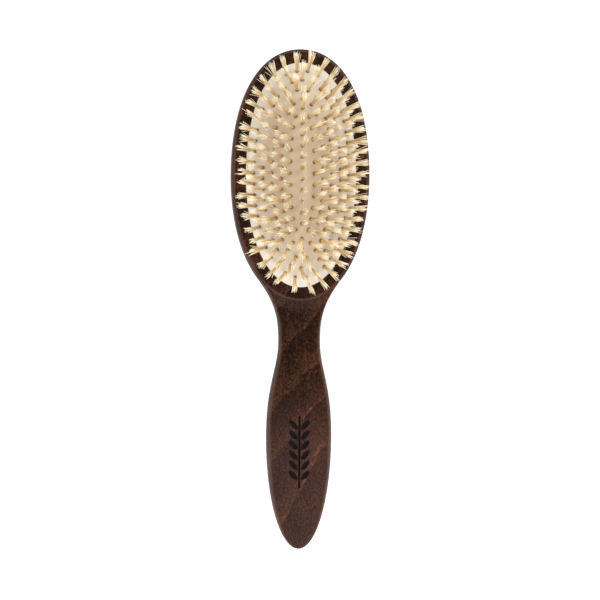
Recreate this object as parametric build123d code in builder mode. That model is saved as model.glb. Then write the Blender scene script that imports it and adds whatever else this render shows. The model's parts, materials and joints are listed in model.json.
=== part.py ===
"""Vanity hairbrush: an oval beech paddle with a pneumatic rubber cushion and boar-bristle tufts.

The brush lies on its back. X runs across it, Y along it towards the top of the head, and +Z is the
way the bristles point. The origin is under the middle of the brush, on the surface it lies on.
All sizes are in millimetres.
"""

import os
from math import atan, cos, radians, sin, tan

from build123d import *

# The wooden body, seen from the front
brush_length = 235.0
head_length = 118.8
head_width = 65.4
crown_fullness = 0.613  # of the head's oval above its widest line; 0.552 is an ellipse
heel_fullness = 0.584  # the same below it, towards the handle
tip_fullness = 0.56
neck_start = 0.6  # share of the oval's lower quarter after which the neck leaves it
neck_reach = 13.0  # how far the neck keeps the oval's direction
waist_width = 19.6
waist_below_heel = 17.9
waist_reach_up = 11.0  # how far the waist keeps straight towards the head
waist_reach_down = 14.0  # and towards the grip
grip_width = 30.8
grip_from_tip = 53.1
grip_reach = 25.0  # how far the grip keeps straight towards the waist

# The wooden body, seen from the side
head_thickness = 17.0
neck_step = 3.3  # how far the neck lies below the face of the head
grip_thickness = 14.4
tip_thickness = 11.6
tip_lift = 2.6  # how far the back of the tip clears the surface the brush lies on
face_inset = 1.4  # from the head's outline in to the sharp edge of its face
cove_slopes = (45.0, 35.0, 25.0, 16.0, 8.0, 2.0)  # degrees, down the cove from face to neck
cove_meets_neck = 8.0  # the slope at which the cove runs into the neck

# The pressed ornament on the handle
ornament_from_tip = 46.0
ornament_length = 34.0
ornament_depth = 0.6
stem_width = 1.0
leaf_length = 5.6
leaf_width = 2.4
leaf_lean = 40.0  # degrees from the stem
leaf_pairs = 6

# The cushion and the pocket it is seated in
rim_width = 7.0  # wood between the cushion and the head's outline
pocket_depth = 7.0
seat_clearance = 0.1
groove_below_face = 1.6
lip_thickness = 1.7
lip_width = 1.5
dome_height = 9.0
cushion_thickness = 1.8
crown_half_width = 2.0  # of the small flat along the top of the dome

# The tufts
ring_leans = (16.0, 21.0, 25.0, 28.5, 32.5)  # degrees outwards, from the inner ring to the outer
outer_ring_inset = 3.4  # at the sides of the cushion
outer_ring_end_inset = 4.2
rings_across = 5.37  # ring spacings from the outer ring in to the centre row
rings_along = 10.67  # ring spacings from the outer ring in to the middle of the cushion
tuft_pitch = 5.0
crown_row_lean = 5.0  # degrees, at the two ends of the centre row
tuft_length = 15.0
tuft_root_radius = 0.65
tuft_tip_radius = 1.3
hole_clearance = 0.07

# The anchor wires, one in the fold of each tuft, behind the rubber
wire_radius = 0.25
wire_length = 2.6
wire_clearance = 0.04
wire_gap = 0.2
fold_thickness = 0.35

# Places worked out from the sizes above
tip_y = -brush_length / 2
head_y = brush_length / 2 - head_length / 2
heel_y = brush_length / 2 - head_length
waist_y = heel_y - waist_below_heel
grip_y = tip_y + grip_from_tip
ornament_y = tip_y + ornament_from_tip
half_width = head_width / 2
half_length = head_length / 2
neck_height = head_thickness - neck_step
cove_radius = neck_step / (cos(radians(cove_meets_neck)) - cos(radians(cove_slopes[0])))
lip_floor = head_thickness - groove_below_face - seat_clearance - lip_thickness

# The flank as levels up from the back: height, inset on the head, inset on the handle
flank_levels = (
    (0.0, 7.0, 6.2),
    (1.5, 3.3, 3.3),
    (4.2, 0.9, 1.0),
    (7.5, 0.0, 0.0),
    (11.0, 0.0, 0.2),
    (14.2, 0.25, 1.2),
    (head_thickness, face_inset, 3.2),
)

pad_half_width = half_width - rim_width
pad_half_length = half_length - rim_width
skirt_half_width = pad_half_width - seat_clearance
skirt_half_length = pad_half_length - seat_clearance
ring_count = len(ring_leans)
ring_spacing = (pad_half_width - outer_ring_inset) / rings_across
ring_end_spacing = (pad_half_length - outer_ring_end_inset) / rings_along
crown_row_half = (rings_along - ring_count - 0.55) * ring_end_spacing
wire_depth = cushion_thickness + wire_gap + wire_radius
root_depth = wire_depth + wire_radius + fold_thickness


def quarter(centre, start, end, fullness):
    """The control points of a smooth quarter turn about a centre."""
    corner = start + end - centre
    return [start, start + (corner - start) * fullness, end + (corner - end) * fullness, end]


def first_part(controls, share):
    """The control points of the first part of a curve, up to a share of it."""
    kept = []
    while controls:
        kept.append(controls[0])
        controls = [a + (b - a) * share for a, b in zip(controls, controls[1:])]
    return kept


def oval(half_x, half_y):
    """A smooth oval about the middle of the head, as four quarters from its right side."""
    centre = Vector(0, head_y)
    right, left = centre + Vector(half_x, 0), centre - Vector(half_x, 0)
    top, heel = centre + Vector(0, half_y), centre - Vector(0, half_y)
    return [
        Bezier(*quarter(centre, right, top, crown_fullness)),
        Bezier(*quarter(centre, top, left, crown_fullness)),
        Bezier(*quarter(centre, left, heel, heel_fullness)),
        Bezier(*quarter(centre, heel, right, heel_fullness)),
    ]


def oval_face(half_x, half_y, height):
    """A level face with an oval outline."""
    with BuildSketch(Plane.XY.offset(height)) as face:
        with BuildLine():
            oval(half_x, half_y)
        make_face()
    return face.sketch


def paddle_outline(head_inset, handle_inset):
    """The outline of head, neck, waist and grip, drawn in by the two insets."""
    centre = Vector(0, head_y)
    side = centre + Vector(half_width - head_inset, 0)
    top = centre + Vector(0, half_length - head_inset)
    heel = centre - Vector(0, half_length - head_inset)
    head_side = first_part(quarter(centre, side, heel, heel_fullness), neck_start)
    shoulder = head_side[-1]
    heading = (shoulder - head_side[-2]).normalized()
    waist = Vector(waist_width / 2 - handle_inset, waist_y)
    grip = Vector(grip_width / 2 - handle_inset, grip_y)
    tip = Vector(0, tip_y + handle_inset / 2)
    Bezier(*quarter(centre, top, side, crown_fullness))
    Bezier(*head_side)
    Bezier(shoulder, shoulder + heading * neck_reach, waist + Vector(0, waist_reach_up), waist)
    Bezier(waist, waist - Vector(0, waist_reach_down), grip + Vector(0, grip_reach), grip)
    Bezier(*quarter(Vector(0, grip_y), grip, tip, tip_fullness))
    mirror(about=Plane.YZ)


def handle_side(drop):
    """The handle seen from the side, under its curved front lowered by the drop."""
    inside = (head_y, neck_height - drop)
    neck = (waist_y + waist_below_heel / 2, neck_height - drop)
    grip = (grip_y, grip_thickness - drop)
    tip = (tip_y, tip_thickness - drop)
    Line(inside, neck)
    Spline(neck, grip, tip, tangents=[(-1, 0), (-1, -0.16)])
    Polyline(tip, (tip_y, 0), (head_y, 0), inside)


def ring_size(ring):
    """Half width and half length of a ring of tufts; ring 0 is the flat on top of the dome."""
    if ring == 0:
        return crown_half_width, crown_row_half + crown_half_width
    steps_in = ring_count - ring
    half_x = pad_half_width - outer_ring_inset - steps_in * ring_spacing
    half_y = pad_half_length - outer_ring_end_inset - steps_in * ring_end_spacing
    return half_x, half_y


def dome_rise(half_x):
    """The dome's height above the face of the head, where its oval has this half width."""
    return dome_height * (1 - (half_x / pad_half_width) ** 2)


def dome_slope(half_x):
    """The dome's slope at the same place, in radians."""
    return atan(2 * dome_height * half_x / pad_half_width**2)


def dome_layers(depth):
    """The oval faces that the dome is lofted through above its rim, so deep under its skin."""
    layers = []
    for ring in range(ring_count, -1, -1):
        half_x, half_y = ring_size(ring)
        inwards = depth * sin(dome_slope(half_x))
        downwards = depth * cos(dome_slope(half_x))
        level = head_thickness + dome_rise(half_x) - downwards
        layers.append(oval_face(half_x - inwards, half_y - inwards, level))
    return layers


def step_along(edges, distance):
    """The point and the direction at a distance along a row of edges."""
    for edge in edges:
        if distance <= edge.length:
            break
        distance -= edge.length
    point = edge.position_at(distance, position_mode=PositionMode.LENGTH)
    return point, edge.tangent_at(distance, position_mode=PositionMode.LENGTH)


def ring_planes(ring):
    """One plane for each tuft of a ring: it starts on the rubber, and its Z is the tuft's axis."""
    half_x, half_y = ring_size(ring)
    with BuildLine():
        quarters = oval(half_x, half_y)
    around = sum(edge.length for edge in quarters)
    # Neighbouring rings are staggered by half a pitch, both at the sides and at the ends
    remainder = 0 if ring == 1 else 2
    stagger = 0.5 if ring % 2 == 0 else 0
    count = 4 * round((around / tuft_pitch - remainder) / 4) + remainder
    lean = radians(ring_leans[ring - 1])
    rise = Vector(0, 0, head_thickness + dome_rise(half_x))
    planes = []
    for index in range(count):
        point, along = step_along(quarters, around * (index + stagger) / count)
        outwards = Vector(along.Y, -along.X)
        axis = outwards * sin(lean) + Vector(0, 0, cos(lean))
        planes.append(Plane(origin=point + rise, x_dir=along, z_dir=axis))
    return planes


def crown_row_planes():
    """The same for the straight row along the top of the dome."""
    gaps = round(2 * crown_row_half / tuft_pitch)
    height = head_thickness + dome_rise(crown_half_width)
    planes = []
    for index in range(gaps + 1):
        share = 2 * index / gaps - 1
        lean = radians(crown_row_lean) * share
        place = (0, head_y + crown_row_half * share, height)
        planes.append(Plane(origin=place, x_dir=(1, 0, 0), z_dir=(0, sin(lean), cos(lean))))
    return planes


tuft_rows = {"centre": crown_row_planes()}
for ring in range(1, ring_count + 1):
    tuft_rows[f"ring_{ring}"] = ring_planes(ring)


# Pieces of form used to shape the body

with BuildPart() as front_form:
    # The face of the head, falling away in a cove on every side
    cove = []
    for slope in cove_slopes:
        spread = cove_radius * (sin(radians(cove_slopes[0])) - sin(radians(slope))) - 0.8 * face_inset
        rise = cove_radius * (cos(radians(cove_meets_neck)) - cos(radians(slope)))
        cove.append(oval_face(half_width + spread, half_length + spread, neck_height + rise))
    loft(cove)
    extrude(cove[-1], amount=-(neck_height + rise))
    # The neck and the grip
    with BuildSketch(Plane.YZ):
        with BuildLine():
            handle_side(0)
        make_face()
    extrude(amount=head_width, both=True)

with BuildPart() as ornament:
    # A sprig of leaves on a stem, pressed equally deep all along the curved handle
    leaf_step = (ornament_length - leaf_length) / leaf_pairs
    leaf_x = leaf_length / 2 * sin(radians(leaf_lean)) + stem_width
    with BuildSketch():
        with Locations((0, ornament_y)):
            SlotOverall(ornament_length, stem_width, rotation=90)
        for pair in range(leaf_pairs):
            leaf_y = ornament_y - ornament_length / 2 + leaf_length / 2 + (pair + 0.7) * leaf_step
            for side in (-1, 1):
                with Locations((side * leaf_x, leaf_y)):
                    Ellipse(leaf_length / 2, leaf_width / 2, rotation=90 - side * leaf_lean)
    extrude(amount=head_thickness)
    with BuildSketch(Plane.YZ):
        with BuildLine():
            handle_side(ornament_depth)
        make_face()
    extrude(amount=head_width, both=True, mode=Mode.SUBTRACT)


# The wooden body

with BuildPart() as wood_body:
    for level, head_inset, handle_inset in flank_levels:
        with BuildSketch(Plane.XY.offset(level)):
            with BuildLine():
                paddle_outline(head_inset, handle_inset)
            make_face()
    loft()
    add(front_form.part, mode=Mode.INTERSECT)
    # The back of the handle, which rises from the table towards the tip
    with BuildSketch(Plane.YZ):
        with BuildLine():
            back = Spline((waist_y, 0), (tip_y, tip_lift), tangents=[(-1, 0), (-1, 0.07)])
            Polyline(back @ 1, (tip_y, -1), (waist_y, -1), back @ 0)
        make_face()
    extrude(amount=head_width, both=True, mode=Mode.SUBTRACT)
    # The pocket for the cushion, and the groove in its wall
    mouth = oval_face(pad_half_width, pad_half_length, head_thickness)
    extrude(mouth, amount=-pocket_depth, mode=Mode.SUBTRACT)
    groove_width = lip_width + seat_clearance
    groove = oval_face(pad_half_width + groove_width, pad_half_length + groove_width, lip_floor)
    extrude(groove, amount=lip_thickness + seat_clearance, mode=Mode.SUBTRACT)
    add(ornament.part, mode=Mode.SUBTRACT)
wood_body.part.label = "wood_body"


# The rubber cushion: a dome, a short skirt into the pocket and a lip in the groove

rim_slope = dome_slope(skirt_half_width)
inner_rim = head_thickness - cushion_thickness / cos(rim_slope) + cushion_thickness * tan(rim_slope)
inner_half_width = skirt_half_width - cushion_thickness
inner_half_length = skirt_half_length - cushion_thickness

with BuildPart() as cushion:
    rim = oval_face(skirt_half_width, skirt_half_length, head_thickness)
    loft([rim, *dome_layers(0)])
    extrude(rim, amount=lip_floor - head_thickness)
    lip = oval_face(pad_half_width + lip_width, pad_half_length + lip_width, lip_floor)
    extrude(lip, amount=lip_thickness)
    # The hollow behind the rubber
    inner = oval_face(inner_half_width, inner_half_length, inner_rim)
    loft([inner, *dome_layers(cushion_thickness)], mode=Mode.SUBTRACT)
    extrude(inner, amount=lip_floor - inner_rim, mode=Mode.SUBTRACT)
    # A hole for each tuft
    for planes in tuft_rows.values():
        with Locations(*planes):
            Cylinder(tuft_root_radius + hole_clearance, 4 * cushion_thickness, mode=Mode.SUBTRACT)
cushion.part.label = "cushion"


# One tuft of bristles, standing on the rubber, with a fold behind it for its wire

with BuildPart() as tuft:
    with BuildSketch(Plane.XZ):
        with BuildLine():
            Polyline(
                (0, -root_depth),
                (tuft_root_radius - fold_thickness, -root_depth),
                (tuft_root_radius, -root_depth + fold_thickness),
                (tuft_root_radius, tuft_root_radius),
                (tuft_tip_radius, tuft_length - tuft_tip_radius / 2),
                (tuft_tip_radius / 2, tuft_length),
                (0, tuft_length),
                close=True,
            )
        make_face()
    revolve(axis=Axis.Z)
    with Locations((0, 0, -wire_depth)):
        Cylinder(
            wire_radius + wire_clearance, wire_length, rotation=(0, 90, 0), mode=Mode.SUBTRACT
        )

with BuildPart() as wire:
    with Locations((0, 0, -wire_depth)):
        Cylinder(wire_radius, wire_length, rotation=(0, 90, 0))


# The rows of tufts and of wires, each row a group of separate pieces

pieces = [wood_body.part, cushion.part]
for row, planes in tuft_rows.items():
    for kind, piece in (("tufts", tuft.part), ("anchors", wire.part)):
        with BuildPart() as group:
            with Locations(*planes):
                add(piece)
        group.part.label = f"{kind}_{row}"
        pieces.append(group.part)

os.makedirs("parts", exist_ok=True)
for piece in pieces:
    export_step(piece, f"parts/{piece.label}.step")
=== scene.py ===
"""The looks of the vanity hairbrush: stained beech, a cream rubber cushion and blond bristles.

Everything is in metres, in the frame of the packed part: the brush lies on its back with the
bristles up (+Z), and the head points along +Y.
"""

import json
from math import cos, exp, radians, sin, tau

import bmesh
import bpy
import numpy as np
from bpy.props import FloatProperty, FloatVectorProperty, IntProperty, PointerProperty
from mathutils import Matrix, Vector
from mathutils.bvhtree import BVHTree
from mathutils.kdtree import KDTree

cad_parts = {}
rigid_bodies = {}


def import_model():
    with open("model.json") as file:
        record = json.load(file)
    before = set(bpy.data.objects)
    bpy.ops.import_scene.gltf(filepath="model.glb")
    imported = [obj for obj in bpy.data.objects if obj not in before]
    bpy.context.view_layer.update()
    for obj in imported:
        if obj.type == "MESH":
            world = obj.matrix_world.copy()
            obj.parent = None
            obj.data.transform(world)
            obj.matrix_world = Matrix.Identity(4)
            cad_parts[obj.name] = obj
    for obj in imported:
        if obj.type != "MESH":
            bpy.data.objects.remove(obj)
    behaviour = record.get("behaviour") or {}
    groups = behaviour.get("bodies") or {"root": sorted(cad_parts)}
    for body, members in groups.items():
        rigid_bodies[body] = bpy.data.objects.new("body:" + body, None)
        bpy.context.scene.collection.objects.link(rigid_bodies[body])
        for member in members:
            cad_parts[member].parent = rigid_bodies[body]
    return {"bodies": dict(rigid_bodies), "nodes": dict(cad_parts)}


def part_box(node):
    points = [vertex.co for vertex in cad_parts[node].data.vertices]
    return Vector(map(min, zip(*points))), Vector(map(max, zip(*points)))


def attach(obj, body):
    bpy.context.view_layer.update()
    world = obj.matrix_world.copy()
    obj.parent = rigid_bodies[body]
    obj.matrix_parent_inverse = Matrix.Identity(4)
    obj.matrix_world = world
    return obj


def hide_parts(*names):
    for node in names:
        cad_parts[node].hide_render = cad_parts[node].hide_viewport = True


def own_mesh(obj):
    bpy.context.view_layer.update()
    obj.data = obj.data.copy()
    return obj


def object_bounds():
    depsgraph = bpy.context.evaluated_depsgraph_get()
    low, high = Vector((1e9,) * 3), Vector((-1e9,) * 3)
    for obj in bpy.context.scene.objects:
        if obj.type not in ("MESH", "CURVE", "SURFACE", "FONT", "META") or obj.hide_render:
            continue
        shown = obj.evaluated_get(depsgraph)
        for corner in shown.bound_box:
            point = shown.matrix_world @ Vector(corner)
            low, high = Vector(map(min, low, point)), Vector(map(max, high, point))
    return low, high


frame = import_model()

bl_info = {
    "name": "Vanity hairbrush",
    "version": (1, 0, 0),
    "blender": (4, 5, 0),
    "location": "3D View > Sidebar > Hairbrush",
    "description": "Builds the wood, rubber and bristles of a hairbrush on its CAD frame",
    "category": "Add Mesh",
}

MM = 0.001
ROWS = sorted(body for body in frame["bodies"] if body != "brush")
CAD_BOX = [list(corner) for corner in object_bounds()]

# How full the oval of the head is, above and below its widest line; 0.552 is an ellipse
CROWN_FULLNESS = 0.613
HEEL_FULLNESS = 0.584


# Sizes and colours that a user would change


def colour(name, description, default):
    """A colour property with the usual limits."""
    return FloatVectorProperty(
        name=name, description=description, default=default, subtype="COLOR", size=3, min=0, max=1
    )


def size(name, description, default):
    """A length property in metres."""
    return FloatProperty(
        name=name, description=description, default=default, unit="LENGTH", min=0, precision=5
    )


class HairbrushWood(bpy.types.PropertyGroup):
    """The stained beech."""

    dark: colour("Dark stain", "Where the grain takes up most of it", (0.0088, 0.0038, 0.0021))
    warm: colour("Warm stain", "Where the grain takes up least", (0.066, 0.0245, 0.0130))
    streak: colour("Streak", "The bright line along a growth ring", (0.21, 0.062, 0.027))
    # Lighter edges: partly stain rubbed thin, partly a painted highlight along the rounded edges
    highlit_worn_edge: colour("Worn edge", "Where the stain is rubbed thin", (0.125, 0.062, 0.046))
    # A painted sheen: the handle turns lighter and greyer towards its end
    painted_sheen: colour("Haze", "Added by the finish towards the handle's end", (0.017, 0.0105, 0.0105))
    # Darker in the pressed sprig, the deeper the darker
    pressed: colour("Pressed", "The stain gathered in the pressed sprig", (0.008, 0.0045, 0.004))
    edge: size("Edge", "Width of the softened edges", 0.55 * MM)
    ring_spacing: size("Ring spacing", "Between two growth rings on the face", 21 * MM)
    speckle: size("Speckle", "Size of the small flecks in the grain", 0.75 * MM)
    roughness: FloatProperty(
        name="Roughness", description="Of the satin finish", default=0.44, min=0, max=1
    )


class HairbrushCushion(bpy.types.PropertyGroup):
    """The rubber cushion."""

    rim: colour("Rim", "The rubber at the foot of the dome", (0.61, 0.57, 0.505))
    # Painted shade among the tufts and painted warm light bounced from the bristles: the rubber
    # darker and warmer towards the top of the dome
    shaded_crown: colour("Crown", "The rubber at the top of the dome", (0.63, 0.515, 0.37))
    mottle: colour("Mottle", "The faint clouds in the rubber", (0.62, 0.52, 0.40))
    # Painted shade in the hole round each tuft
    shade: colour("Shade", "The rubber in the hole round a tuft", (0.26, 0.16, 0.075))
    thickness: size("Thickness", "Of the rubber", 1.8 * MM)
    lip: size("Lip", "How far the lip reaches into the groove of the wood", 1.5 * MM)
    dome: size("Dome", "Height of the crown above the face of the head", 9 * MM)
    hole: size("Hole", "Radius of the hole round each tuft", 0.65 * MM)


class HairbrushBristles(bpy.types.PropertyGroup):
    """The tufts of bristle."""

    count: IntProperty(name="Bristles", description="In each tuft", default=26, min=1, max=40)
    length: size("Length", "From the rubber to the tips", 15 * MM)
    thickness: size("Thickness", "Of one bristle at its root", 0.28 * MM)
    root_spread: size("Root spread", "Radius of the tuft where it leaves the rubber", 0.58 * MM)
    tip_spread: size("Tip spread", "Radius of the tuft at its tips", 1.35 * MM)
    gold: colour("Gold", "The bristle near the rubber", (0.86, 0.61, 0.26))
    pale: colour("Pale", "The bristle at its split tip", (1.0, 0.915, 0.71))
    # Partly the bristle's darker root, partly painted shade at the foot of the tuft
    root: colour("Root", "The bristle in its hole", (0.30, 0.17, 0.06))
    rust: colour("Rust", "The odd reddish patch on a bristle", (0.55, 0.22, 0.06))


class HairbrushStage(bpy.types.PropertyGroup):
    """The floor, the lights and the camera."""

    distance: size("Distance", "From the brush to the camera", 0.70)
    aside: size("Aside", "How far to the left of the brush the camera stands", 0.045)
    view_width: size("View width", "How much of the brush's plane the camera takes in", 0.2808)
    turn: FloatProperty(
        name="Turn",
        description="Of the camera about its own axis",
        default=radians(0.29),
        subtype="ANGLE",
    )
    sky: FloatProperty(name="Sky", description="Light from all round", default=1.12, min=0)
    key: FloatProperty(name="Key", description="Power of the main softbox", default=3.7, min=0)


SETTINGS = {
    "hairbrush_wood": HairbrushWood,
    "hairbrush_cushion": HairbrushCushion,
    "hairbrush_bristles": HairbrushBristles,
    "hairbrush_stage": HairbrushStage,
}


# Node trees


def put(tree, kind, inputs=None, **settings):
    """A new node with its settings, and its inputs linked or set."""
    made = tree.nodes.new(kind)
    for key, value in settings.items():
        setattr(made, key, value)
    for key, value in (inputs or {}).items():
        join(tree, value, made.inputs[key])
    return made


def join(tree, value, socket):
    """Links a socket, or sets a value, into an input."""
    if isinstance(value, bpy.types.NodeSocket):
        tree.links.new(value, socket)
    else:
        socket.default_value = value


def maths(tree, operation, *terms):
    """The result of one sum."""
    return put(tree, "ShaderNodeMath", dict(enumerate(terms)), operation=operation).outputs[0]


def vector(tree, operation, *terms):
    """The result of one vector sum."""
    terms = dict(enumerate(terms))
    if operation == "SCALE":
        terms = {0: terms[0], "Scale": terms[1]}
    made = put(tree, "ShaderNodeVectorMath", terms, operation=operation)
    return made.outputs["Value" if operation == "DOT_PRODUCT" else "Vector"]


def between(tree, value, start, end, low=0.0, high=1.0):
    """A smooth step of a value, from low at start to high at end."""
    made = put(
        tree,
        "ShaderNodeMapRange",
        {"Value": value, "From Min": start, "From Max": end, "To Min": low, "To Max": high},
        interpolation_type="SMOOTHSTEP",
    )
    return made.outputs["Result"]


def blended(tree, factor, first, second):
    """Two colours mixed by a factor."""
    made = put(tree, "ShaderNodeMix", data_type="RGBA")
    join(tree, factor, made.inputs["Factor"])
    for socket, value in ((made.inputs[6], first), (made.inputs[7], second)):
        join(tree, value if isinstance(value, bpy.types.NodeSocket) else (*value, 1), socket)
    return made.outputs[2]


def noise(tree, place, scale, detail=2.0, roughness=0.5):
    """Noise with features of about 1/scale metres."""
    made = put(
        tree,
        "ShaderNodeTexNoise",
        {"Vector": place, "Scale": scale, "Detail": detail, "Roughness": roughness},
    )
    return made.outputs["Fac"]


def carried(tree, name):
    """A value that the mesh carries for its material."""
    return put(tree, "ShaderNodeAttribute", attribute_name=name).outputs["Fac"]


def rough_skin(tree, shader, height, strength, depth):
    """A bump on the surface, from a pattern of heights."""
    bump = put(
        tree, "ShaderNodeBump", {"Height": height, "Strength": strength, "Distance": depth}
    )
    join(tree, bump.outputs["Normal"], shader.inputs["Normal"])


def new_material(name):
    """A material, its tree and shader, and the place on the piece that its patterns read."""
    material = bpy.data.materials.new(name)
    material.use_nodes = True
    tree = material.node_tree
    shader = tree.nodes["Principled BSDF"]
    place = put(tree, "ShaderNodeTexCoord").outputs["Object"]
    return material, tree, shader, place


# Materials


def beech_material(wood):
    """Beech under a dark stain: fine flecks, and growth rings that end in a reddish line. The
    edges are lighter, partly stain rubbed thin and partly a painted highlight; a painted sheen
    lightens the handle towards its end; the sprig is darker the deeper it lies."""
    material, tree, shader, place = new_material("stained_beech")

    def along_grain(share):
        """The place, with patterns drawn out along the handle."""
        return vector(tree, "MULTIPLY", place, (1, share, 1))

    # Growth rings cross the face at a slant, and wander
    drift = put(
        tree, "ShaderNodeTexNoise", {"Vector": along_grain(0.5), "Scale": 17, "Detail": 5}
    ).outputs["Color"]
    swing = vector(tree, "SCALE", vector(tree, "SUBTRACT", drift, (0.5, 0.5, 0.5)), 0.045)
    slant, dip = radians(38), 0.9
    across = [way / wood.ring_spacing for way in (sin(slant), -cos(slant), dip)]
    wandering = vector(tree, "ADD", place, swing)
    ring = maths(tree, "FRACT", vector(tree, "DOT_PRODUCT", wandering, across))

    # The stain darkens and lightens with clouds, flecks and fibres
    fleck = noise(tree, along_grain(0.7), 1 / wood.speckle, 2, 0.6)
    fibre = noise(tree, along_grain(0.16), 1.5 / wood.speckle, 2, 0.6)
    pore = noise(tree, along_grain(0.45), 1.5 / wood.speckle, 1)
    cloud = noise(tree, along_grain(0.55), 70, 4)
    tone = maths(tree, "MULTIPLY", maths(tree, "POWER", ring, 2.0), 0.36)
    for pattern, low, high, share in (
        (cloud, 0.30, 0.72, 0.30),
        (fleck, 0.36, 0.66, 0.52),
        (fibre, 0.34, 0.68, 0.28),
    ):
        tone = maths(tree, "ADD", tone, between(tree, pattern, low, high, 0, share))
    stain = blended(tree, between(tree, tone, 0.20, 1.35), wood.dark, wood.warm)

    # Each ring ends in a bright line, broken into short strokes
    broken = between(tree, noise(tree, place, 330, 3, 0.7), 0.48, 0.66)
    patchy = between(tree, noise(tree, place, 45, 2), 0.42, 0.62)
    ring_end = between(tree, ring, 0.86, 0.985)
    line = maths(tree, "MULTIPLY", ring_end, maths(tree, "MULTIPLY", broken, patchy))
    stain = blended(tree, maths(tree, "MULTIPLY", line, 0.75), stain, wood.streak)
    stain = blended(tree, between(tree, pore, 0.60, 0.70, 0, 0.7), stain, wood.dark)

    # Edge wear with a painted highlight, a painted sheen towards the handle's end, and the darker
    # sprig
    # The edges turn lighter: partly stain rubbed thin, partly a painted highlight where a rounded
    # edge catches the light
    wear_and_highlight_mask = between(tree, cloud, 0.2, 0.8, 0.25, 0.65)
    wear_and_highlight_mask = maths(tree, "MULTIPLY", carried(tree, "highlit_worn_edge"), wear_and_highlight_mask)
    stain = blended(tree, wear_and_highlight_mask, stain, wood.highlit_worn_edge)
    lengthwise = put(tree, "ShaderNodeSeparateXYZ", {0: place}).outputs[1]
    # Painted sheen: lighter and greyer from the waist of the handle to its end
    sheen_share = between(tree, lengthwise, -30 * MM, -78 * MM)
    stain = vector(tree, "ADD", stain, vector(tree, "SCALE", tuple(wood.painted_sheen), sheen_share))
    # The sprig is darker the deeper it lies under the front of the handle
    sprig_darkening = maths(tree, "MULTIPLY", carried(tree, "pressed"), 0.95)
    stain = blended(tree, sprig_darkening, stain, wood.pressed)
    join(tree, stain, shader.inputs["Base Color"])

    rough = maths(tree, "ADD", wood.roughness - 0.06, maths(tree, "MULTIPLY", fleck, 0.14))
    join(tree, rough, shader.inputs["Roughness"])
    shader.inputs["Specular IOR Level"].default_value = 0.06
    grain = maths(tree, "SUBTRACT", fleck, between(tree, pore, 0.58, 0.72))
    rough_skin(tree, shader, grain, 0.35, 0.08 * MM)
    return material


def rubber_material(cushion):
    """Cream rubber with a faint mottle; darker and warmer towards the crown of the dome as painted
    shade and painted light bounced from the bristles, and darker with painted shade in the hole
    round each tuft.
    """
    material, tree, shader, place = new_material("cream_rubber")
    mottle = between(tree, noise(tree, place, 240, 3), 0.3, 0.7, 0.0, 0.12)
    # Painted shade and bounced light towards the crown, then painted shade in each hole
    rubber = blended(tree, carried(tree, "shaded_crown"), cushion.rim, cushion.shaded_crown)
    rubber = blended(tree, mottle, rubber, cushion.mottle)
    rubber = blended(tree, carried(tree, "hole"), rubber, cushion.shade)
    join(tree, rubber, shader.inputs["Base Color"])
    shader.inputs["Roughness"].default_value = 0.5
    shader.inputs["IOR"].default_value = 1.45
    rough_skin(tree, shader, noise(tree, place, 2600, 2), 0.15, 0.05 * MM)
    return material


def bristle_material(bristles):
    """Blond boar bristle: brown in its hole, partly its darker root and partly painted shade,
    golden above it and pale at the split tip.
    """
    material, tree, shader, place = new_material("blond_bristle")
    along = carried(tree, "along")
    tone = maths(tree, "MULTIPLY", carried(tree, "tone"), 0.35)
    paler = between(tree, maths(tree, "ADD", along, tone), 0.25, 1.2)
    hair = blended(tree, paler, bristles.gold, bristles.pale)
    # Brown at the foot of the tuft: partly the darker root, partly painted shade
    hair = blended(tree, between(tree, along, 0.17, 0.10), hair, bristles.root)
    rust = between(tree, noise(tree, place, 900, 2), 0.70, 0.78, 0, 0.45)
    hair = blended(tree, rust, hair, bristles.rust)
    join(tree, hair, shader.inputs["Base Color"])
    shader.inputs["Roughness"].default_value = 0.38
    shader.inputs["IOR"].default_value = 1.54
    return material


def steel_material():
    """Drawn steel wire."""
    material, tree, shader, place = new_material("drawn_steel")
    lines = noise(tree, vector(tree, "MULTIPLY", place, (1, 1, 0.2)), 5000, 1)
    steel = blended(tree, lines, (0.50, 0.49, 0.46), (0.66, 0.65, 0.62))
    join(tree, steel, shader.inputs["Base Color"])
    join(tree, between(tree, lines, 0.2, 0.8, 0.28, 0.42), shader.inputs["Roughness"])
    shader.inputs["Metallic"].default_value = 1.0
    return material


# Measures from the frame, and meshes


def row_of(body):
    """The name of the row of tufts on a body."""
    return "centre" if body == "centre_row" else body


def frame_face():
    """The height of the face of the head, which is the top of the wood."""
    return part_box("wood_body")[1].z


def tuft_places(row, length):
    """Where each tuft of a row stands on the rubber, and its axis, read from its CAD solid."""
    solid = bmesh.new()
    solid.from_mesh(frame["nodes"]["tufts_" + row].data)
    bmesh.ops.remove_doubles(solid, verts=solid.verts, dist=1e-6)
    waiting, places = set(solid.verts), []
    for start in list(solid.verts):
        if start not in waiting:
            continue
        waiting.discard(start)
        found, unspread = [start], [start]
        while unspread:
            for edge in unspread.pop().link_edges:
                for vert in edge.verts:
                    if vert in waiting:
                        waiting.discard(vert)
                        found.append(vert)
                        unspread.append(vert)
        points = np.array([vert.co for vert in found])
        axis = np.linalg.svd(points - points.mean(0), full_matrices=False)[2][0]
        axis *= np.sign(axis[2])
        band = 0.1 * MM
        for _ in range(3):
            reach = points @ axis
            tip = points[reach > reach.max() - band].mean(0)
            root = points[reach < reach.min() + band].mean(0)
            axis = (tip - root) / np.linalg.norm(tip - root)
        places.append((Vector(tip - axis * length), Vector(axis)))
    solid.free()
    return sorted(places, key=lambda place: (round(place[0].y, 5), round(place[0].x, 5)))


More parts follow.
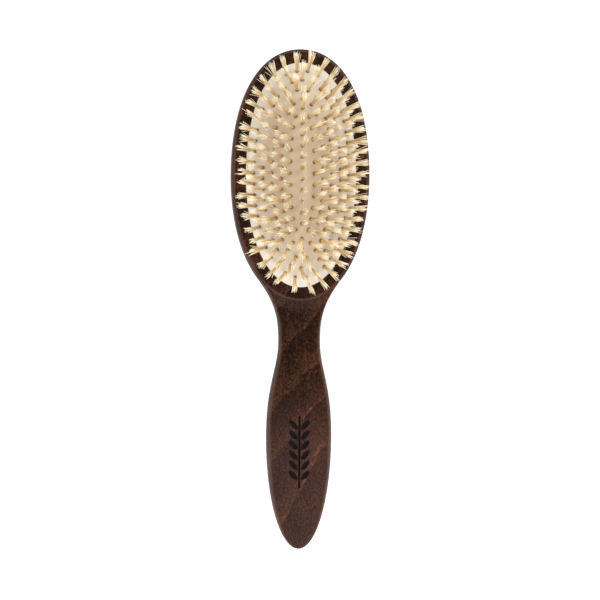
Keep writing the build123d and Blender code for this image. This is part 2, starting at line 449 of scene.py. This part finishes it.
def mesh_object(name, mesh, material):
    """A new object at the origin with this mesh and material."""
    made = bpy.data.objects.new(name, mesh)
    bpy.context.scene.collection.objects.link(made)
    if not mesh.materials:
        mesh.materials.append(material)
    return made


def add_values(mesh, name, values):
    """A number for each vertex, for a material to read."""
    layer = mesh.attributes.new(name, "FLOAT", "POINT")
    layer.data.foreach_set("value", np.asarray(values, np.float32))


# The wood


def edge_finder(edges):
    """Finds how near a place is to these edges, by points close together on them."""
    gap = 0.12 * MM
    samples = []
    for edge in edges:
        start, end = (vert.co for vert in edge.verts)
        count = max(2, int(edge.calc_length() / gap))
        samples += [start.lerp(end, step / count) for step in range(count + 1)]
    lines = KDTree(len(samples))
    for number, place in enumerate(samples):
        lines.insert(place, number)
    lines.balance()
    return lines


def soft_edged(node, width, angle, skipped):
    """A merged copy of a CAD node's mesh with its sharp edges rounded off. Its edge attribute
    runs from 1 on those edges to 0 away from them, and marks where the material lays edge wear and
    a painted highlight."""
    solid = bmesh.new()
    solid.from_mesh(frame["nodes"][node].data)
    bmesh.ops.remove_doubles(solid, verts=solid.verts, dist=2e-6)
    lines = edge_finder(
        edge
        for edge in solid.edges
        if edge.calc_face_angle(0) > angle and not skipped(edge.verts[0].co)
    )
    known = {}

    def distance(place):
        key = tuple(place)
        if key not in known:
            known[key] = lines.find(place)[2]
        return known[key]

    # Finer triangles near the sharp edges, so that they can be rounded
    longest, refined = 0.5 * MM, 1.5 * width
    for _ in range(10):
        near = []
        for edge in solid.edges:
            if edge.calc_length() > longest:
                start, end = (vert.co for vert in edge.verts)
                if min(distance(place) for place in (start, end, (start + end) / 2)) < refined:
                    near.append(edge)
        if not near:
            break
        bmesh.ops.subdivide_edges(solid, edges=near, cuts=1, use_single_edge=True)
        bmesh.ops.triangulate(solid, faces=[face for face in solid.faces if len(face.verts) > 3])
    gaps = np.array([distance(vert.co) for vert in solid.verts])
    highlit_worn_edge = [vert for vert in solid.verts if distance(vert.co) < 0.9 * width]
    for _ in range(3):
        bmesh.ops.smooth_vert(
            solid, verts=highlit_worn_edge, factor=0.5, use_axis_x=True, use_axis_y=True, use_axis_z=True
        )
    mesh = bpy.data.meshes.new(node)
    solid.to_mesh(mesh)
    solid.free()
    mesh.shade_smooth()
    # The band along the edges that the material lightens: partly edge wear, partly a painted
    # highlight
    add_values(mesh, "highlit_worn_edge", np.exp(-((gaps / width) ** 2)))
    return mesh


def pressed_depths(mesh, side, foot, top):
    """How deep each point of the sprig lies under the front of the handle, as a share of its full
    depth. The front keeps one height across the handle, so it is measured beside the sprig."""
    full_depth = 0.5 * MM
    beside, above = side + 1.5 * MM, 0.1
    front = BVHTree.FromPolygons(
        [vertex.co for vertex in mesh.vertices], [face.vertices for face in mesh.polygons]
    )
    depths = []
    for vertex in mesh.vertices:
        x, y, z = vertex.co
        depth = 0.0
        if abs(x) < side and foot < y < top and z > 0:
            hit = front.ray_cast((beside, y, above), (0, 0, -1))[0]
            depth = (hit.z - z) / full_depth if hit else 0.0
        # Less than this is the front itself, and more is the back of the handle
        depths.append(depth if 0.3 < depth < 1.6 else 0.0)
    return np.minimum(depths, 1.0)


class HAIRBRUSH_OT_wood(bpy.types.Operator):
    """Build the wooden body with softened edges in stained beech"""

    bl_idname = "hairbrush.wood"
    bl_label = "Stained beech body"

    def execute(self, context):
        wood = context.scene.hairbrush_wood
        face = frame_face()
        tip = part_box("wood_body")[0].y
        low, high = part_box("cushion")
        middle = (low.y + high.y) / 2
        inset = 0.7 * MM
        pocket = ((high.x - low.x) / 2 - inset, (high.y - low.y) / 2 - inset)
        sprig = (7 * MM, tip + 26 * MM, tip + 66 * MM)  # half its width, its foot and its top

        def skipped(place):
            """Whether an edge belongs to the sprig or to the pocket below its mouth."""
            if abs(place.x) < sprig[0] and sprig[1] < place.y < sprig[2]:
                return True
            across, along = abs(place.x) / pocket[0], abs(place.y - middle) / pocket[1]
            return across**2.2 + along**2.2 < 1.1 and place.z < face - 0.2 * MM

        mesh = soft_edged("wood_body", wood.edge, radians(28), skipped)
        add_values(mesh, "pressed", pressed_depths(mesh, *sprig))
        piece = mesh_object("beech_body", mesh, beech_material(wood))
        mesh.set_sharp_from_angle(angle=radians(50))
        even = piece.modifiers.new("even shading", "WEIGHTED_NORMAL")
        even.weight = 100  # large faces count most, slivers hardly at all
        even.keep_sharp = True
        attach(piece, "brush")
        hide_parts("wood_body")
        return {"FINISHED"}


# The cushion


def oval(half_width, half_length, count):
    """Points round an oval like the head's, four cubic quarters, from its right side."""
    points = []
    for step in range(count):
        turn = 4 * step / count
        number, share = int(turn), turn % 1
        full = CROWN_FULLNESS if number < 2 else HEEL_FULLNESS
        a = (1 - share) ** 3 + 3 * (1 - share) ** 2 * share + 3 * (1 - share) * share**2 * full
        b = share**3 + 3 * (1 - share) * share**2 + 3 * (1 - share) ** 2 * share * full
        x, y = [(a, b), (-b, a), (-a, -b), (b, -a)][number]
        points.append((x * half_width, y * half_length))
    return points


def cushion_rings(half_width, half_length, sizes, floor, face):
    """Closed rings from the top of the dome, over its rim and round the inside, as rows of
    (half width, half length, height)."""
    outside, inside = 92, 9
    pinch = 1.13  # towards the crown the rings shorten this much faster than they narrow
    rings = []

    def dome_rings(shares, widest, foot):
        """Rings at these shares of a dome's half width, on a dome that stands on this height."""
        for share in shares:
            width = widest * share
            length = half_length - (half_width - width) * pinch
            rings.append((width, length, foot + sizes.dome * (1 - share**2)))

    dome_rings([step / outside for step in range(1, outside + 1)], half_width, face)
    lip_top = floor + 1.7 * MM
    for out, height in (
        (0, face - 1.0 * MM),
        (0, lip_top),
        (sizes.lip, lip_top),
        (sizes.lip, floor),
        (-sizes.thickness, floor),
    ):
        rings.append((half_width + out, half_length + out, height))
    shares = [step / inside for step in range(inside, 0, -1)]
    dome_rings(shares, half_width - sizes.thickness, face - sizes.thickness)
    return rings


def rubber_shell(sizes, face):
    """The closed shell of the cushion, before its skin is drawn in round the tufts."""
    low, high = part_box("cushion")
    middle = (low.y + high.y) / 2
    half_width = (high.x - low.x) / 2 - sizes.lip
    half_length = (high.y - low.y) / 2 - sizes.lip
    around = 240
    shell = bmesh.new()
    rows = []
    for width, length, height in cushion_rings(half_width, half_length, sizes, low.z, face):
        outline = oval(width, length, around)
        rows.append([shell.verts.new((x, middle + y, height)) for x, y in outline])
    for row, following in zip(rows, rows[1:]):
        for step in range(around):
            after = (step + 1) % around
            shell.faces.new((row[step], following[step], following[after], row[after]))
    # Each end is closed by strips from one side of the innermost ring to the other
    for row in (rows[0], rows[-1]):
        for step in range(-around // 4, around // 4):
            across = around // 2 - step
            corners = [row[step], row[step + 1], row[across - 1], row[across]]
            shell.faces.new(list(dict.fromkeys(corners)))
    bmesh.ops.recalc_face_normals(shell, faces=shell.faces)
    return shell


def hole_finder(length):
    """Finds the hole nearest to a place, seen from above."""
    seats = [place for body in ROWS for place, _ in tuft_places(row_of(body), length)]
    holes = KDTree(len(seats))
    for number, seat in enumerate(seats):
        holes.insert((seat.x, seat.y, 0), number)
    holes.balance()
    return holes


def dimple(gap):
    """How far the rubber is drawn in at this distance from a tuft: a pucker in a faint ring."""
    pucker = 0.30 * MM * exp(-((gap / (0.85 * MM)) ** 2))
    ring = 0.05 * MM * exp(-(((gap - 1.55 * MM) / (0.45 * MM)) ** 2))
    return pucker - ring


class HAIRBRUSH_OT_cushion(bpy.types.Operator):
    """Build the rubber cushion with a dimple round each tuft"""

    bl_idname = "hairbrush.cushion"
    bl_label = "Rubber cushion"

    def execute(self, context):
        sizes = context.scene.hairbrush_cushion
        face = frame_face()
        shell = rubber_shell(sizes, face)
        holes = hole_finder(context.scene.hairbrush_bristles.length)

        def from_hole(vert):
            """How far a point of the skin is from the middle of the nearest hole."""
            if vert.co.z < face - 0.2 * MM or vert.normal.z < 0:
                return 1.0
            return holes.find((vert.co.x, vert.co.y, 0))[2]

        # Finer faces round each hole, then the pucker in them
        shell.normal_update()
        for reach in (1.9 * MM, 1.35 * MM):
            near = {vert for vert in shell.verts if from_hole(vert) < reach}
            edges = [
                edge
                for edge in shell.edges
                if not near.isdisjoint(edge.verts) and edge.calc_length() > 0.25 * MM
            ]
            bmesh.ops.subdivide_edges(shell, edges=edges, cuts=1, use_grid_fill=True)
            shell.normal_update()
        away = np.array([from_hole(vert) for vert in shell.verts])
        rise = np.array([max(0, vert.co.z - face) / sizes.dome for vert in shell.verts])
        for vert, gap in zip(shell.verts, away):
            if gap < 2.4 * MM:
                vert.co.z -= dimple(gap)
        mesh = bpy.data.meshes.new("rubber_cushion")
        shell.to_mesh(mesh)
        shell.free()
        mesh.shade_smooth()
        fade = 0.35 * MM
        # Painted shade in the hole round each tuft, fading out at its edge
        add_values(mesh, "hole", np.clip((sizes.hole + fade - away) / fade, 0, 1))
        # Painted shade among the tufts: the darker, warmer crown colour grows with height on the
        # dome
        add_values(mesh, "shaded_crown", rise**1.2)

        piece = mesh_object("rubber_cushion", mesh, rubber_material(sizes))
        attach(piece, "brush")
        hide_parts("cushion")
        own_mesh(piece)
        return {"FINISHED"}


# The bristles and their wires


def bristle_tree():
    """The node tree that grows one row of tufts from the places of their roots."""
    tree = bpy.data.node_groups.new("bristle_tufts", "GeometryNodeTree")
    face = tree.interface
    face.new_socket("Tufts", in_out="INPUT", socket_type="NodeSocketGeometry")
    for name in ("Length", "Thickness", "Root spread", "Tip spread", "Sink"):
        face.new_socket(name, in_out="INPUT", socket_type="NodeSocketFloat")
    for name in ("Bristles", "Seed"):
        face.new_socket(name, in_out="INPUT", socket_type="NodeSocketInt")
    face.new_socket("Material", in_out="INPUT", socket_type="NodeSocketMaterial")
    face.new_socket("Bristles made", in_out="OUTPUT", socket_type="NodeSocketGeometry")
    given = tree.nodes.new("NodeGroupInput").outputs

    def attribute(name, kind="FLOAT"):
        made = put(tree, "GeometryNodeInputNamedAttribute", {"Name": name}, data_type=kind)
        return made.outputs["Attribute"]

    def store(geometry, name, value, kind="FLOAT"):
        made = put(tree, "GeometryNodeStoreNamedAttribute", data_type=kind, domain="POINT")
        join(tree, geometry, made.inputs["Geometry"])
        made.inputs["Name"].default_value = name
        join(tree, value, made.inputs["Value"])
        return made.outputs["Geometry"]

    draws = []

    def chance(low, high, identity, kind="FLOAT"):
        """A random number for each identity; every call draws from a seed of its own."""
        first, result = (2, 1) if kind == "FLOAT" else (4, 2)
        made = put(tree, "FunctionNodeRandomValue", data_type=kind)
        join(tree, low, made.inputs[first])
        join(tree, high, made.inputs[first + 1])
        join(tree, identity, made.inputs["ID"])
        draws.append(made)
        join(tree, maths(tree, "ADD", given["Seed"], 17.0 * len(draws)), made.inputs["Seed"])
        return made.outputs[result]

    def sides(axis):
        """Two directions square to an axis."""
        one = vector(tree, "NORMALIZE", vector(tree, "CROSS_PRODUCT", axis, (0.0, 1.0, 0.0)))
        return one, vector(tree, "CROSS_PRODUCT", axis, one)

    def around(axis, angle, reach):
        """A step square to an axis."""
        one, other = sides(axis)
        step = vector(
            tree,
            "ADD",
            vector(tree, "SCALE", one, maths(tree, "COSINE", angle)),
            vector(tree, "SCALE", other, maths(tree, "SINE", angle)),
        )
        return vector(tree, "SCALE", step, reach)

    # One point for each bristle
    index = put(tree, "GeometryNodeInputIndex").outputs[0]
    tufts = store(given["Tufts"], "tuft", index, "INT")
    copies = put(
        tree,
        "GeometryNodeDuplicateElements",
        {"Geometry": tufts, "Amount": given["Bristles"]},
        domain="POINT",
    ).outputs["Geometry"]
    tuft = attribute("tuft", "INT")
    straight = attribute("axis", "FLOAT_VECTOR")
    seat = put(tree, "GeometryNodeInputPosition").outputs[0]

    # The tuft as a whole leans a little, and bends a little
    tilt = around(straight, chance(0.0, tau, tuft), chance(0.0, 0.10, tuft))
    lean = vector(tree, "NORMALIZE", vector(tree, "ADD", straight, tilt))
    bend = around(lean, chance(0.0, tau, tuft), chance(0.0, 0.9 * MM, tuft))
    flare = maths(tree, "MULTIPLY", given["Tip spread"], chance(0.75, 1.25, tuft))

    # Each bristle has its place in the tuft, and belongs to one of its wisps
    turn = chance(0.0, tau, index)
    share = maths(tree, "SQRT", chance(0.0, 1.0, index))
    start = around(lean, turn, maths(tree, "MULTIPLY", share, given["Root spread"]))
    spread = maths(tree, "MULTIPLY", maths(tree, "MULTIPLY", share, flare), 0.40)
    own = around(lean, turn, spread)
    wisp = maths(tree, "ADD", maths(tree, "MULTIPLY", tuft, 7.0), chance(0, 4, index, "INT"))
    swept = around(
        lean, chance(0.0, tau, wisp), maths(tree, "MULTIPLY", flare, chance(0.10, 1.0, wisp))
    )
    stray = between(tree, chance(0.0, 1.0, index), 0.940, 0.950, 0.0, 1.6 * MM)
    heading = chance(0.0, tau, index)
    loose = around(lean, heading, maths(tree, "ADD", stray, chance(0.0, 0.35 * MM, index)))
    splay = vector(tree, "ADD", vector(tree, "ADD", own, swept), vector(tree, "ADD", bend, loose))
    reach = maths(tree, "MULTIPLY", given["Length"], chance(0.93, 1.0, tuft))
    reach = maths(tree, "MULTIPLY", reach, chance(0.80, 1.0, index))
    reach = maths(tree, "ADD", reach, given["Sink"])
    points = copies
    for name, value, kind in (
        ("seat", vector(tree, "ADD", seat, start), "FLOAT_VECTOR"),
        ("lean", lean, "FLOAT_VECTOR"),
        ("splay", splay, "FLOAT_VECTOR"),
        ("reach", reach, "FLOAT"),
        ("tone", chance(0.0, 1.0, index), "FLOAT"),
    ):
        points = store(points, name, value, kind)

    # One slender bristle, then all of them, each laid along its own line
    shape = put(
        tree,
        "GeometryNodeMeshCylinder",
        {"Vertices": 4, "Side Segments": 6, "Radius": 1.0, "Depth": 1.0},
        fill_type="NGON",
    ).outputs["Mesh"]
    shape = store(shape, "form", put(tree, "GeometryNodeInputPosition").outputs[0], "FLOAT_VECTOR")
    sown = put(
        tree, "GeometryNodeInstanceOnPoints", {"Points": points, "Instance": shape}
    ).outputs["Instances"]
    solid = put(tree, "GeometryNodeRealizeInstances", {"Geometry": sown}).outputs["Geometry"]
    form = put(tree, "ShaderNodeSeparateXYZ", {0: attribute("form", "FLOAT_VECTOR")}).outputs
    along = maths(tree, "ADD", form[2], 0.5)
    lean = attribute("lean", "FLOAT_VECTOR")
    height = maths(tree, "MULTIPLY", attribute("reach"), along)
    rise = vector(tree, "SCALE", lean, maths(tree, "SUBTRACT", height, given["Sink"]))
    bowed = maths(tree, "POWER", along, 1.5)
    splay = vector(tree, "SCALE", attribute("splay", "FLOAT_VECTOR"), bowed)
    foot = attribute("seat", "FLOAT_VECTOR")
    line = vector(tree, "ADD", vector(tree, "ADD", foot, rise), splay)
    slimmer = maths(tree, "MULTIPLY", maths(tree, "POWER", along, 3.0), 0.55)
    taper = maths(tree, "SUBTRACT", 1.0, slimmer)
    radius = maths(tree, "MULTIPLY", maths(tree, "MULTIPLY", given["Thickness"], 0.5), taper)
    one, other = sides(lean)
    skin = vector(
        tree, "ADD", vector(tree, "SCALE", one, form[0]), vector(tree, "SCALE", other, form[1])
    )
    place = vector(tree, "ADD", line, vector(tree, "SCALE", skin, radius))
    solid = store(solid, "along", along)
    solid = put(tree, "GeometryNodeSetPosition", {"Geometry": solid, "Position": place}).outputs[0]
    solid = put(tree, "GeometryNodeSetShadeSmooth", {"Geometry": solid}).outputs[0]
    solid = put(
        tree, "GeometryNodeSetMaterial", {"Geometry": solid, "Material": given["Material"]}
    ).outputs[0]
    put(tree, "NodeGroupOutput", {0: solid})
    return tree


def grow_tufts(row, number, bristles, tree, material):
    """One row of tufts as a plain mesh."""
    places = tuft_places(row, bristles.length)
    roots = bpy.data.meshes.new("tuft_roots_" + row)
    roots.from_pydata([place for place, _ in places], [], [])
    layer = roots.attributes.new("axis", "FLOAT_VECTOR", "POINT")
    layer.data.foreach_set("vector", np.array([axis for _, axis in places], np.float32).ravel())
    grown = mesh_object("tuft_roots_" + row, roots, material)
    growth = grown.modifiers.new("bristles", "NODES")
    growth.node_group = tree
    values = {
        "Length": bristles.length,
        "Thickness": bristles.thickness,
        "Root spread": bristles.root_spread,
        "Tip spread": bristles.tip_spread,
        "Sink": 1.5 * MM,
        "Bristles": bristles.count,
        "Seed": 31 * number,
        "Material": material,
    }
    for item in tree.interface.items_tree:
        if item.in_out == "INPUT" and item.name in values:
            growth[item.identifier] = values[item.name]
    bpy.context.view_layer.update()
    ready = grown.evaluated_get(bpy.context.evaluated_depsgraph_get())
    mesh = bpy.data.meshes.new_from_object(ready)
    bpy.data.objects.remove(grown)
    if not mesh.polygons:
        raise RuntimeError("the tufts of " + row + " came out empty")
    for name in ("tuft", "axis", "seat", "lean", "splay", "reach", "form", "id"):
        layer = mesh.attributes.get(name)
        if layer:
            mesh.attributes.remove(layer)
    mesh.name = "bristles_" + row
    return mesh_object("bristles_" + row, mesh, material)


class HAIRBRUSH_OT_bristles(bpy.types.Operator):
    """Grow the tufts of bristle, one piece for each row that moves by itself"""

    bl_idname = "hairbrush.bristles"
    bl_label = "Bristle tufts"

    def execute(self, context):
        sizes = context.scene.hairbrush_bristles
        material = bristle_material(sizes)
        tree = bristle_tree()
        for number, body in enumerate(ROWS, start=1):
            row = row_of(body)
            piece = grow_tufts(row, number, sizes, tree, material)
            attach(piece, body)
            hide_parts("tufts_" + row)
        return {"FINISHED"}


class HAIRBRUSH_OT_wires(bpy.types.Operator):
    """Give the anchor wires behind the rubber their steel"""

    bl_idname = "hairbrush.wires"
    bl_label = "Anchor wires"

    def execute(self, context):
        steel = steel_material()
        for name, node in frame["nodes"].items():
            if name.startswith("anchors_"):
                node.data.materials.clear()
                node.data.materials.append(steel)
        return {"FINISHED"}


# The stage


def studio_world(strength):
    """A soft white studio, bright all round and dark overhead, a little towards the head."""
    world = bpy.data.worlds.new("studio")
    world.use_nodes = True
    tree = world.node_tree
    way = put(tree, "ShaderNodeTexCoord").outputs["Generated"]
    overhead = vector(tree, "DOT_PRODUCT", way, (0.0, 0.17, 0.985))
    light = maths(tree, "MULTIPLY", between(tree, overhead, 0.80, 0.95, 1.0, 0.03), strength)
    background = tree.nodes["Background"]
    join(tree, light, background.inputs["Strength"])
    background.inputs["Color"].default_value = (1, 0.99, 0.97, 1)
    return world


def lay_floor():
    """A wide pale floor, which glows a little so that its shadows stay soft."""
    reach = 3.0
    corners = [(-reach, -reach, 0), (reach, -reach, 0), (reach, reach, 0), (-reach, reach, 0)]
    floor_mesh = bpy.data.meshes.new("floor")
    floor_mesh.from_pydata(corners, [], [(0, 1, 2, 3)])
    paint, _, shader, _ = new_material("pale_floor")
    shader.inputs["Base Color"].default_value = (0.5, 0.5, 0.5, 1)
    shader.inputs["Roughness"].default_value = 0.9
    shader.inputs["Specular IOR Level"].default_value = 0.1
    shader.inputs["Emission Color"].default_value = (1, 1, 1, 1)
    shader.inputs["Emission Strength"].default_value = 0.75
    mesh_object("floor", floor_mesh, paint)


def softbox(name, place, width, power):
    """A square soft light that faces the origin."""
    light = bpy.data.lights.new(name, "AREA")
    light.size = width
    light.energy = power
    lamp = bpy.data.objects.new(name, light)
    lamp.location = place
    lamp.rotation_euler = (-Vector(place)).to_track_quat("-Z", "Y").to_euler()
    bpy.context.scene.collection.objects.link(lamp)


def camera_above(stage):
    """A camera that looks down on the middle of the brush, from a little to its left."""
    low, high = (Vector(corner) for corner in CAD_BOX)
    middle = (low + high) / 2
    target = Vector((middle.x, middle.y - 0.3 * MM, frame_face() * 0.8))
    lens = bpy.data.cameras.new("camera")
    lens.sensor_width = 36
    lens.lens = lens.sensor_width * stage.distance / stage.view_width
    camera = bpy.data.objects.new("camera", lens)
    bpy.context.scene.collection.objects.link(camera)
    camera.location = target + Vector((-stage.aside, 0, stage.distance))
    back = (camera.location - target).normalized()
    right = Vector((0, 1, 0)).cross(back).normalized()
    upright = Matrix((right, back.cross(right), back)).transposed()
    camera.rotation_euler = (upright @ Matrix.Rotation(stage.turn, 3, "Z")).to_euler()
    return camera


class HAIRBRUSH_OT_stage(bpy.types.Operator):
    """Set up the pale floor, the soft lights and the camera"""

    bl_idname = "hairbrush.stage"
    bl_label = "Stage"

    def execute(self, context):
        stage = context.scene.hairbrush_stage
        lay_floor()
        context.scene.view_settings.view_transform = "Standard"
        context.scene.world = studio_world(stage.sky)
        softbox("key_softbox", (0.38, 0.50, 0.62), 0.55, stage.key)
        softbox("foot_softbox", (-0.06, -0.75, 0.42), 0.60, stage.key * 1.1)
        softbox("side_softbox", (-0.70, 0.10, 0.45), 0.60, stage.key * 0.5)
        context.scene.camera = camera_above(stage)
        return {"FINISHED"}


# The panel, and the run


class HAIRBRUSH_PT_panel(bpy.types.Panel):
    """Lists the steps that build the hairbrush"""

    bl_idname = "HAIRBRUSH_PT_panel"
    bl_label = "Vanity hairbrush"
    bl_space_type = "VIEW_3D"
    bl_region_type = "UI"
    bl_category = "Hairbrush"

    def draw(self, context):
        for name, group in SETTINGS.items():
            box = self.layout.box()
            box.label(text=group.__doc__)
            for field in group.__annotations__:
                box.prop(getattr(context.scene, name), field)
        for operator in OPERATORS:
            self.layout.operator(operator.bl_idname)


OPERATORS = (
    HAIRBRUSH_OT_wood,
    HAIRBRUSH_OT_cushion,
    HAIRBRUSH_OT_bristles,
    HAIRBRUSH_OT_wires,
    HAIRBRUSH_OT_stage,
)
CLASSES = (*SETTINGS.values(), *OPERATORS, HAIRBRUSH_PT_panel)


def register():
    for item in CLASSES:
        bpy.utils.register_class(item)
    for name, group in SETTINGS.items():
        setattr(bpy.types.Scene, name, PointerProperty(type=group))


def unregister():
    for name in SETTINGS:
        delattr(bpy.types.Scene, name)
    for item in reversed(CLASSES):
        bpy.utils.unregister_class(item)


def main():
    """Builds every piece."""
    register()
    bpy.ops.hairbrush.wood()
    bpy.ops.hairbrush.cushion()
    bpy.ops.hairbrush.bristles()
    bpy.ops.hairbrush.wires()
    bpy.ops.hairbrush.stage()


if __name__ == "__main__":
    main()
